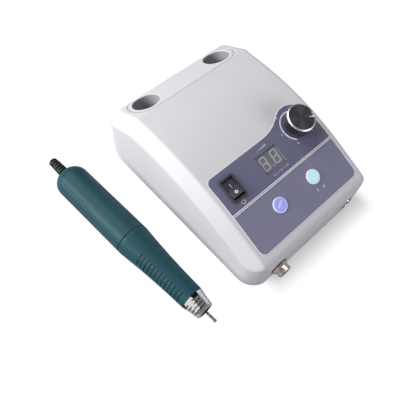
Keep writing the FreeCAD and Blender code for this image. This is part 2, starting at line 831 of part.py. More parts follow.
def make_socket_insert():
    insert = rod(socket_bore, 1 - socket_back, 1.5)
    holes = [rod(socket_pin_radius, -2 * socket_back, 2 * socket_reach, x, y) for x, y in pin_places]
    return moved(insert.cut(holes), socket_frame)


def make_socket_pins():
    return [moved(rod(socket_pin_radius, 1 - socket_back, socket_reach - 2.5, x, y), socket_frame)
            for x, y in pin_places]


def make_socket_nut():
    nut = hexagon(2 * socket_thread + 4, -wall - 2.2, -wall)
    return moved(nut.cut(rod(socket_thread, -9, 0)), socket_frame)


def make_pedal_jack():
    side_x, side_y, length = jack_body
    body = fuse([block(side_x, side_y, -wall - length, -wall), rod(jack_bush, -wall, jack_bush_rise)])
    return moved(body.cut(rod(jack_bore, 2 - wall - length, 9)), jack_frame)


def make_jack_nut():
    nut = tube(jack_nut_radius, jack_bush, 0, jack_nut_height)
    nut = nut.makeChamfer(0.3, [edge for edge in nut.Edges if edge.BoundBox.ZMin > jack_nut_height - 0.01])
    notches = [block(1.0, 1.6, jack_nut_height / 2, 9, y=side * jack_nut_radius) for side in (-1, 1)]
    return moved(nut.cut(notches), jack_frame)


# Rear sockets

inlet_frame = rear_frame_at(inlet_x, inlet_z)
fuse_frame = rear_frame_at(fuse_x, inlet_z)
inlet_pin_places = (-inlet_pin_pitch / 2, inlet_pin_pitch / 2)


def make_mains_inlet():
    flange = rounded_plate(inlet_flange[0], inlet_flange[1], 3.0, 0, inlet_flange[2])
    body = block(inlet_body[0], inlet_body[1], -inlet_body[2], 0)
    recess = [rod(inlet_lobe, -inlet_depth, 9, x) for x in inlet_pin_places]
    recess.append(block(inlet_pin_pitch, 1.5 * inlet_lobe, -inlet_depth, 9))
    holes = [rod(inlet_pin, -2 * inlet_depth, 9, x) for x in inlet_pin_places]
    return moved(fuse([flange, body]).cut(recess + holes), inlet_frame)


def make_inlet_pins():
    return [moved(rod(inlet_pin, -inlet_body[2] - 4, -1.5, x), inlet_frame) for x in inlet_pin_places]


def make_fuse_holder():
    low = -fuse_length - 9
    nut = hexagon(2 * fuse_bush + 2.4, -wall - 2.5, -wall)
    body = fuse([rod(fuse_flange, 0, fuse_flange_height), rod(fuse_bush, low, 0), nut])
    return moved(body.cut(rod(fuse_bore, low + 1, 9)), fuse_frame)


def make_fuse_cap():
    gap = fuse_flange_height + seam
    top = gap + fuse_cap_height
    cap = rod(fuse_cap_radius, gap, top)
    cap = cap.makeChamfer(0.5, [edge for edge in cap.Edges if edge.BoundBox.ZMin > top - 0.01])
    cap = cap.cut(block(1.4 * fuse_cap_radius, 1.2, top - 1.0, 2 * top))
    return moved(fuse([cap, rod(fuse_bore - running, -fuse_plug, gap)]), fuse_frame)


def make_fuse_link():
    return moved(rod(fuse_radius, -fuse_plug - seam - fuse_length, -fuse_plug - seam), fuse_frame)


# Power supply

def make_transformer_core():
    core_x, core_y, core_z = core_size
    low = foot_height + plate_thickness
    core = block(core_x, core_y, low, low + core_z, y=transformer_y)
    window_x = (core_x - core_leg) / 2 - core_yoke
    shift = core_leg / 2 + window_x / 2
    window = block(window_x, core_y, low + core_yoke, low + core_z - core_yoke, y=transformer_y)
    return core.cut([window.translated(Vector(side * shift, 0, 0)) for side in (-1, 1)])


def make_transformer_coil():
    core_x, core_y, core_z = core_size
    low = foot_height + plate_thickness
    window_x = (core_x - core_leg) / 2 - core_yoke
    outer = rounded_plate(core_leg + 2 * window_x - 0.6, core_y + 2 * coil_bulge, 5.0, low + core_yoke,
                          low + core_z - core_yoke)
    outer.translate(Vector(0, transformer_y, 0))
    return outer.cut(block(core_leg, core_y, 0, crest_z, y=transformer_y))


supply_floor = foot_height + plate_thickness + standoff_height


def make_supply_board():
    board = rounded_plate(supply_board[0], supply_board[1], 1.5, supply_floor, supply_floor + board_thickness)
    return board.translated(Vector(supply_x, supply_y, 0))


def make_heat_sink():
    top = supply_floor + board_thickness
    base = block(30.0, 3.0, top, top + 20, x=supply_x - 4, y=supply_y + 12)
    fins = [block(1.4, 8.0, top, top + 20, x=supply_x - 4 + 4.6 * i, y=supply_y + 8) for i in range(-3, 4)]
    return fuse([base] + fins)


def make_capacitors():
    top = supply_floor + board_thickness
    can = rod(5.0, top, top + 16)
    can = can.makeChamfer(0.8, [edge for edge in can.Edges if edge.BoundBox.ZMin > top + 1])
    return [can.translated(Vector(supply_x + x, supply_y - 11, 0)) for x in (-14, -2, 10)]


# Handpiece, drawn along Z from tail to nose

hand_frame = Placement(Vector(hand_tail_x, hand_tail_y, hand_radius),
                       Rotation(Vector(cos(hand_heading), sin(hand_heading), 0), Vector(0, 0, 1),
                                Vector(sin(hand_heading), -cos(hand_heading), 0), "ZYX"))


def sector(radius, depth_in, z0, z1, angle, sweep):
    """Part of a ring: from radius inwards by depth_in, centred on angle left of the top line."""
    points = [Vector(radius - depth_in, 0, z0), Vector(radius + 3, 0, z0), Vector(radius + 3, 0, z1),
              Vector(radius - depth_in, 0, z1)]
    ring = Part.Face(Part.makePolygon(points + points[:1])).revolve(Vector(), Vector(0, 0, 1), sweep)
    return moved(ring, Placement(Vector(), Rotation(Vector(0, 0, 1), 90 + angle - sweep / 2)))


def make_rear_shell():
    mouth = hand_seam
    inner = hand_radius - hand_wall
    start = hand_tail + tail_wall
    inner_round = inner - relief_flange - fit
    corners = [((0, 0, hand_tail), 0), ((hand_radius, 0, hand_tail), hand_tail_round),
               ((hand_radius, 0, mouth), 0.4), ((inner, 0, mouth), 0), ((inner, 0, start), inner_round),
               ((0, 0, start), 0)]
    shell = Part.Face(rounded_wire(corners)).revolve(Vector(), Vector(0, 0, 1), 360)
    line = block(0.5, 0.8, -1.0, 35.0, y=hand_radius)
    line = moved(line, Placement(Vector(), Rotation(Vector(0, 0, 1), 39)))
    return shell.cut([rod(relief_base, 2 * hand_tail, 0), line])


def make_strain_relief():
    """Tapered gland with windows cut from alternate sides down to its core."""
    tip = hand_tail - relief_length
    flange = hand_tail + tail_wall
    outline = [(0, flange + 1.5), (relief_flange, flange + 1.5), (relief_flange, flange),
               (relief_base, flange), (relief_base, hand_tail), (relief_tip, tip + 1),
               (relief_tip - 0.8, tip), (0, tip)]
    pitch = relief_length / (relief_slots + 0.5)
    slots = []
    for i in range(relief_slots):
        start = tip + (i + 0.6) * pitch
        for side in (-1, 1):
            shift = side * (relief_base / 2 + 0.5)
            turn = 90.0 * (i % 2)
            slot = tube(2 * relief_base, relief_core, start, start + relief_slot)
            slot = slot.common(block(relief_base, 4 * relief_base, start, start + relief_slot, x=shift))
            slots.append(moved(slot, Placement(Vector(), Rotation(Vector(0, 0, 1), turn + 45))))
    return revolved(outline).cut(slots + [rod(cord_bore, tip - 1, flange - 1)])


def make_motor_yoke():
    outer = hand_radius - hand_wall
    return tube(outer, outer - yoke_wall, yoke_start, yoke_end)


def make_magnets():
    outer = hand_radius - hand_wall - yoke_wall
    ring = tube(outer, outer - magnet_wall, yoke_start + 4, yoke_end - 4)
    gaps = [block(9.0, 2 * outer + 2, yoke_start, yoke_end)]
    return ring.cut(gaps).Solids


bell_start = yoke_start - bell_length
bearing_start = bell_start + 1.0
brush_start = bearing_start + rear_bearing_width + 1.2
brush_end = yoke_start - 2.0


def make_end_bell():
    outer = hand_radius - hand_wall
    shoulder = bearing_start + rear_bearing_width
    bell = rod(outer, bell_start, yoke_start)
    hollow = rod(outer - 2, shoulder, yoke_start)
    seat = rod(rear_bearing_radius, bearing_start, shoulder)
    bore = rod(motor_shaft_radius + 0.5, bell_start, bearing_start)
    holders, slots = [], []
    for side in (-1, 1):
        holders.append(block(6.0, brush_width + 1, shoulder, yoke_start - 1, x=side * (outer - 4)))
        slots.append(block(9.0, brush_width, brush_start, brush_end, x=side * (outer - 5.5)))
    return bell.cut([hollow, seat, bore]).fuse(holders).cut(slots)


def make_brushes():
    outer = hand_radius - hand_wall
    length = outer - 1.5 - commutator_radius - seam
    middle = commutator_radius + seam + length / 2
    return [block(length, brush_width, brush_start, brush_end, x=side * middle) for side in (-1, 1)]


def make_bearing(outer, bore, z0, z1):
    ring = tube(outer, bore + running, z0, z1)
    middle = (outer + bore) / 2
    shields = [tube(middle + 0.8, middle - 0.8, z, z + 0.4) for z in (z0, z1 - 0.4)]
    return ring.cut(shields)


def make_spindle_housing():
    rear = hand_seam - 6
    mouth = grip_end + 0.3
    outer = hand_radius - hand_wall
    spigot = spigot_radius - running
    stem = tube_radius - running
    bore = spindle_radius + 3
    outline = [(spindle_radius + 1, rear), (outer, rear), (outer, hand_seam), (spigot, hand_seam),
               (spigot, cam_start - cam_gap), (stem, cam_start - cam_gap), (stem, mouth),
               (thread_radius, mouth), (thread_radius, mouth + thread_length),
               (bearing_radius, mouth + thread_length), (bearing_radius, nose_bearing), (bore, nose_bearing),
               (bore, rear + 5), (spindle_radius + 1, rear + 5)]
    length = cam_length + cam_throw + 1
    keyway = block(3.0 + 2 * fit, 4 * tube_radius, cam_start - 0.5, cam_start - 0.5 + length)
    return revolved(outline).cut(keyway)


nose_bearing = grip_end - 2 * bearing_width - 3


def make_front_bearings():
    return [make_bearing(bearing_radius, spindle_radius, z, z + bearing_width)
            for z in (nose_bearing, nose_bearing + bearing_width + 3)]


def make_grip_sleeve():
    start = hand_seam + seam
    taper = Part.BSplineCurve()
    taper.interpolate([Vector(hand_radius, 0, shoulder_end), Vector(grip_waist_radius, 0, grip_waist),
                       Vector(grip_mid_radius, 0, grip_mid), Vector(grip_end_radius, 0, grip_end)])
    outline = [Vector(grip_end_radius, 0, grip_end), Vector(tube_radius, 0, grip_end),
               Vector(tube_radius, 0, grip_bore_step), Vector(spigot_radius, 0, grip_bore_step - 2),
               Vector(spigot_radius, 0, start), Vector(hand_radius - 0.4, 0, start),
               Vector(hand_radius, 0, start + 0.4), Vector(hand_radius, 0, shoulder_end)]
    edges = [taper.toShape()] + Part.makePolygon(outline).Edges
    grip = Part.Face(Part.Wire(edges)).revolve(Vector(), Vector(0, 0, 1), 360)
    grooves = []
    for group in range(2):
        for i in range(groove_count):
            z = groove_first + i * groove_pitch
            radius = taper.value(taper.parameter(Vector(grip_waist_radius, 0, z))).x
            sweep = math.degrees(groove_span / radius)
            angle = groove_edge + sweep / 2 + 180 * group
            grooves.append(sector(radius, groove_depth, z, z + groove_width, angle, sweep))
    steps = 9
    track = []
    for i in range(steps + 1):
        share = i / steps
        for side in (0, 180):
            angle = 90 + side - share * grip_twist
            z = cam_start + cam_length / 2 + share * cam_throw
            track.append(Part.makeCylinder(cam_pin + fit, cam_pin_reach + fit, Vector(0, 0, z),
                                           Vector(cos(angle), sin(angle), 0)))
    return grip.cut(grooves + track)


def make_cam_ring():
    ring = tube(cam_radius, tube_radius, cam_start, cam_start + cam_length)
    middle = cam_start + cam_length / 2
    root = cam_radius - 0.3
    low, high = cam_start + 0.5, cam_start + cam_length - 0.5
    pins, keys = [], []
    for side in (-1, 1):
        outwards = Vector(0, side, 0)
        foot = Vector(0, side * root, middle)
        pins.append(Part.makeCylinder(cam_pin, cam_pin_reach - root, foot, outwards))
        keys.append(block(3.0, 2.6, low, high, y=side * (tube_radius - 1.0)))
    return fuse([ring] + pins + keys)


def make_nose_cone():
    base = grip_end + 0.3
    tip = base + nose_length
    step = (nose_length - 3.5) / 4
    outline = [(thread_radius, base), (nose_radius - 0.4, base), (nose_radius, base + 0.4),
               (nose_radius, base + 2.6)]
    for i in range(4):
        z = base + 2.6 + i * step
        radius = nose_radius - 0.25 - (nose_radius - nose_tip_radius) * (i + 0.5) / 4.5
        outline += [(radius - 0.5, z), (radius - 0.5, z + 0.7), (radius, z + 1.1), (radius - 0.35, z + step)]
    outline += [(nose_tip_radius, tip - 1.2), (nose_tip_radius - 0.3, tip - 0.5),
                (nose_tip_radius - 0.9, tip), (nose_bore + 1.2, tip), (nose_bore, tip - 1.2),
                (nose_bore, base + thread_length + 0.6), (thread_radius, base + thread_length)]
    outside = 2 * nose_radius
    corners = [Vector(nose_radius - nose_flat, 0, base), Vector(nose_tip_radius - nose_flat / 2, 0, tip),
               Vector(outside, 0, tip), Vector(outside, 0, base)]
    flat = Part.Face(Part.makePolygon(corners + corners[:1]))
    flat.translate(Vector(0, -outside / 2, 0))
    flat = flat.extrude(Vector(0, outside, 0))
    flats = [moved(flat, Placement(Vector(), Rotation(Vector(0, 0, 1), nose_flat_turn + turn)))
             for turn in (0, 180)]
    return revolved(outline).cut(flats)


def make_spindle():
    nose = grip_end + nose_length - 3.5
    outline = [(0, bell_start), (motor_shaft_radius - 0.4, bell_start),
               (motor_shaft_radius, bell_start + 0.4), (motor_shaft_radius, hand_seam + 8),
               (spindle_radius, hand_seam + 8), (spindle_radius, nose - 0.5), (spindle_radius - 0.5, nose),
               (collet_radius, nose), (collet_radius, nose - 30), (0, nose - 30)]
    return revolved(outline)


def make_collet():
    nose = grip_end + nose_length - 3.5
    head = collet_radius + 0.6
    outline = [(shank_radius, nose - 28), (collet_radius, nose - 28), (collet_radius, nose), (head, nose),
               (head, nose + 1.6), (collet_radius, nose + 2.2), (shank_radius, nose + 2.2)]
    slot = block(8.0, 0.5, nose - 14, nose + 5, x=4.0)
    slots = [moved(slot, Placement(Vector(), Rotation(Vector(0, 0, 1), 120 * i))) for i in range(3)]
    return revolved(outline).cut(slots)


def make_mandrel():
    """Blank in the collet, with a depth mark where it leaves the nose."""
    mark = grip_end + nose_length + 0.5
    head = shank_tip - 2.0
    neck = shank_radius - shank_groove
    bulb = shank_radius + shank_head
    outline = [(0, grip_end - 12), (shank_radius, grip_end - 12), (shank_radius, mark - 0.6),
               (neck, mark - 0.6), (neck, mark), (shank_radius, mark), (shank_radius, head),
               (bulb, head + 0.3), (bulb, shank_tip - 0.4), (shank_radius - 0.2, shank_tip), (0, shank_tip)]
    return revolved(outline)


def make_rotor():
    start, end = yoke_start + 7, yoke_end - 7
    core = rod(rotor_radius, start, end)
    slots = []
    for i in range(rotor_slots):
        cut = block(4.2, 2.0, start, end, x=rotor_radius - 1.2)
        slots.append(moved(cut, Placement(Vector(), Rotation(Vector(0, 0, 1), 360 * i / rotor_slots))))
    turns = [rod(rotor_radius - 1.4, start - 4, start), rod(rotor_radius - 1.4, end, end + 4)]
    turns = [turn.makeChamfer(1.2, [edge for edge in turn.Edges if edge.isClosed()]) for turn in turns]
    return core.cut(slots).fuse(turns).cut(rod(motor_shaft_radius, 0, hand_seam))


def make_commutator():
    start = bearing_start + rear_bearing_width + 0.6
    return tube(commutator_radius, motor_shaft_radius, start, yoke_start + 2)


def build():
    """Every part by node name: one shape, or a list of separate solids."""
    half_bar = divider_width / 2
    parts = {
        "top_cover": make_top_cover(),
        "base_plate": make_base_plate(),
        "rubber_feet": make_feet(),
        "housing_screws": make_housing_screws(),
        "cradle_plate": make_cradle_plate(),
        "cradle_cups": make_cradle_cups(),
        "panel_frame": make_panel_frame(),
        "front_film": make_film(panel_front, divider_y - half_bar),
        "rear_film": make_film(divider_y + half_bar, depth),
        "divider_strip": make_divider_strip(),
        "display_window": make_display_window(),
        "display_module": make_display_module(),
        "display_segments": make_display_segments(),
        "display_board": make_display_board(),
        "key_board": make_key_board(),
        "direction_button": make_button(button_x[0]),
        "mode_button": make_button(button_x[1]),
        "button_rings": make_button_rings(),
        "tact_switches": make_tact_switches(),
        "rocker_frame": make_rocker_frame(),
        "power_rocker": make_rocker(),
        "speed_knob": make_speed_knob(),
        "pot_shaft": make_pot_shaft(),
        "potentiometer": make_potentiometer(),
        "pot_nut": make_pot_nut(),
        "socket_shell": make_socket_shell(),
        "socket_gasket": make_socket_gasket(),
        "socket_insert": make_socket_insert(),
        "socket_pins": make_socket_pins(),
        "socket_nut": make_socket_nut(),
        "pedal_jack": make_pedal_jack(),
        "jack_nut": make_jack_nut(),
        "mains_inlet": make_mains_inlet(),
        "inlet_pins": make_inlet_pins(),
        "fuse_holder": make_fuse_holder(),
        "fuse_cap": make_fuse_cap(),
        "fuse_link": make_fuse_link(),
        "transformer_core": make_transformer_core(),
        "transformer_coil": make_transformer_coil(),
        "supply_board": make_supply_board(),
        "heat_sink": make_heat_sink(),
        "capacitors": make_capacitors(),
    }
    handpiece = {
        "rear_shell": make_rear_shell(),
        "strain_relief": make_strain_relief(),
        "motor_yoke": make_motor_yoke(),
        "magnets": make_magnets(),
        "end_bell": make_end_bell(),
        "brushes": make_brushes(),
        "rear_bearing": make_bearing(rear_bearing_radius, motor_shaft_radius, bearing_start,
                                     bearing_start + rear_bearing_width),
        "spindle_housing": make_spindle_housing(),
        "front_bearings": make_front_bearings(),
        "grip_sleeve": make_grip_sleeve(),
        "cam_ring": make_cam_ring(),
        "nose_cone": make_nose_cone(),
        "spindle": make_spindle(),
        "collet": make_collet(),
        "mandrel": make_mandrel(),
        "rotor": make_rotor(),
        "commutator": make_commutator(),
    }
    for name, shape in handpiece.items():
        pieces = shape if isinstance(shape, list) else [shape]
        parts[name] = [moved(piece, hand_frame) for piece in pieces]
    return parts


def main():
    parts = {name: Part.makeCompound(shape) if isinstance(shape, list) else shape
             for name, shape in build().items()}
    box = Part.makeCompound(list(parts.values())).optimalBoundingBox(False)
    to_origin = Placement(Vector(-box.Center.x, -box.Center.y, 0), Rotation())
    os.makedirs("parts", exist_ok=True)
    for name, shape in parts.items():
        moved(shape, to_origin).exportStep("parts/%s.step" % name)
    print("shift %.4f %.4f" % (-box.Center.x, -box.Center.y))
    print("size %.2f x %.2f x %.2f, low %.3f" % (box.XLength, box.YLength, box.ZLength, box.ZMin))


main()
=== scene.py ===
import bpy
import bmesh
import json
import math
from mathutils import Matrix, Vector
from mathutils.bvhtree import BVHTree


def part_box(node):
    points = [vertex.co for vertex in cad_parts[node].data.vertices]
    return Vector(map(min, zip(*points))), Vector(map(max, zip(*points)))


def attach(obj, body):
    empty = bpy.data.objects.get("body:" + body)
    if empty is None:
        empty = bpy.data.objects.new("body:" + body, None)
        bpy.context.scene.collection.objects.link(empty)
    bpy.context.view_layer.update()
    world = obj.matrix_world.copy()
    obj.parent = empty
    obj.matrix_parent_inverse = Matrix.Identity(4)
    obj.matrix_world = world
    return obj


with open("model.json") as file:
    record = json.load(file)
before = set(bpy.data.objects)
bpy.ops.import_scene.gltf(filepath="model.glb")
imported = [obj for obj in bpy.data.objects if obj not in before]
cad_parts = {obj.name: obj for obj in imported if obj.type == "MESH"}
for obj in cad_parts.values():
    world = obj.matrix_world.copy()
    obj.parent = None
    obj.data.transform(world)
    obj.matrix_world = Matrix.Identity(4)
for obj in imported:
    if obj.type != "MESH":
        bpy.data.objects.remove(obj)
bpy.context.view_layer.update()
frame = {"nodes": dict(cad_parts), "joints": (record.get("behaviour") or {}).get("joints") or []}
nodes = frame["nodes"]
joints = {joint["name"]: joint for joint in frame["joints"]}
mm = 0.001

# Where the control unit stands in the frame: its centreline and its front face
coverLow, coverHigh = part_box("top_cover")
unitCentreX = (coverLow.x + coverHigh.x) / 2
unitFrontY = coverLow.y


def inUnit(x, y, z=0.0):
    return Vector((unitCentreX + x * mm, unitFrontY + y * mm, z * mm))


# Colours are written as sRGB hex and turned to linear here
def toLinear(hexColour):
    channels = [int(hexColour[i:i + 2], 16) / 255 for i in (1, 3, 5)]
    return [c / 12.92 if c <= 0.04045 else ((c + 0.055) / 1.055) ** 2.4 for c in channels] + [1.0]


def addNode(tree, kind, settings=None, links=None):
    node = tree.nodes.new(kind)
    for key, value in (settings or {}).items():
        if isinstance(key, str) and hasattr(node, key):
            setattr(node, key, value)
        else:
            node.inputs[key].default_value = value
    for key, source in (links or {}).items():
        tree.links.new(source, node.inputs[key])
    return node


# Shades the moulded flanks as if their edges were rounder, and leaves the flat middle and the lowest
# rim of the cover as they are. from, full and low are mm from the centreline and above the floor.
def softenEdges(tree, edge):
    rounder = addNode(tree, "ShaderNodeBevel", {"samples": edge["samples"], "Radius": edge["radius"] * mm})
    place = addNode(tree, "ShaderNodeNewGeometry")
    parts = addNode(tree, "ShaderNodeSeparateXYZ", {}, {0: place.outputs["Position"]})
    aside = addNode(tree, "ShaderNodeMath", {"operation": "SUBTRACT", 1: unitCentreX},
                    {0: parts.outputs["X"]})
    flank = addNode(tree, "ShaderNodeMath", {"operation": "ABSOLUTE"}, {0: aside.outputs[0]})
    beside = addNode(tree, "ShaderNodeMapRange",
                     {"From Min": edge["from"] * mm, "From Max": edge["full"] * mm},
                     {"Value": flank.outputs[0]})
    above = addNode(tree, "ShaderNodeMapRange",
                    {"From Min": edge["low"] * mm, "From Max": 2 * edge["low"] * mm},
                    {"Value": parts.outputs["Z"]})
    share = addNode(tree, "ShaderNodeMath", {"operation": "MULTIPLY"},
                    {0: beside.outputs["Result"], 1: above.outputs["Result"]})
    mixed = addNode(tree, "ShaderNodeMix", {"data_type": "VECTOR"},
                    {0: share.outputs[0], 4: place.outputs["Normal"], 5: rounder.outputs["Normal"]})
    return mixed.outputs[1]


# How every surface texture is built; the finishes below give its sizes
texture = {"cloudDetail": 3.0, "grainDetail": 4.0, "grainRoughness": 0.6, "grainRange": (0.3, 0.7),
           "bump": 0.5}


# One finish: a base colour that drifts a little, a roughness that varies, and a fine relief.
# grain is the size of the surface texture and drift that of the cloudy colour change, both in mm.
def makeFinish(name, spec):
    material = bpy.data.materials.new(name)
    material.use_nodes = True
    tree = material.node_tree
    shader = tree.nodes["Principled BSDF"]
    place = addNode(tree, "ShaderNodeTexCoord").outputs["Object"]
    if "stretch" in spec:
        stretched = addNode(tree, "ShaderNodeMapping", {"Scale": spec["stretch"]}, {"Vector": place})
        place = stretched.outputs["Vector"]
    cloud = addNode(tree, "ShaderNodeTexNoise",
                    {"Scale": 1 / (spec["drift"] * mm), "Detail": texture["cloudDetail"]},
                    {"Vector": place})
    grain = addNode(tree, "ShaderNodeTexNoise",
                    {"Scale": 1 / (spec["grain"] * mm), "Detail": texture["grainDetail"],
                     "Roughness": texture["grainRoughness"]}, {"Vector": place})
    tint = addNode(tree, "ShaderNodeMix",
                   {"data_type": "RGBA", 6: toLinear(spec["colour"]), 7: toLinear(spec["worn"])},
                   {0: cloud.outputs["Fac"]})
    gloss = addNode(tree, "ShaderNodeMapRange",
                    {"From Min": texture["grainRange"][0], "From Max": texture["grainRange"][1],
                     "To Min": spec["roughness"][0], "To Max": spec["roughness"][1]},
                    {"Value": grain.outputs["Fac"]})
    softened = {}
    if "softEdge" in spec:
        softened["Normal"] = softenEdges(tree, spec["softEdge"])
    bump = addNode(tree, "ShaderNodeBump", {"Strength": texture["bump"], "Distance": spec["relief"] * mm},
                   {"Height": grain.outputs["Fac"], **softened})
    tree.links.new(tint.outputs[2], shader.inputs["Base Color"])
    tree.links.new(gloss.outputs["Result"], shader.inputs["Roughness"])
    tree.links.new(bump.outputs["Normal"], shader.inputs["Normal"])
    for socket, value in spec["sockets"].items():
        shader.inputs[socket].default_value = value
    return material


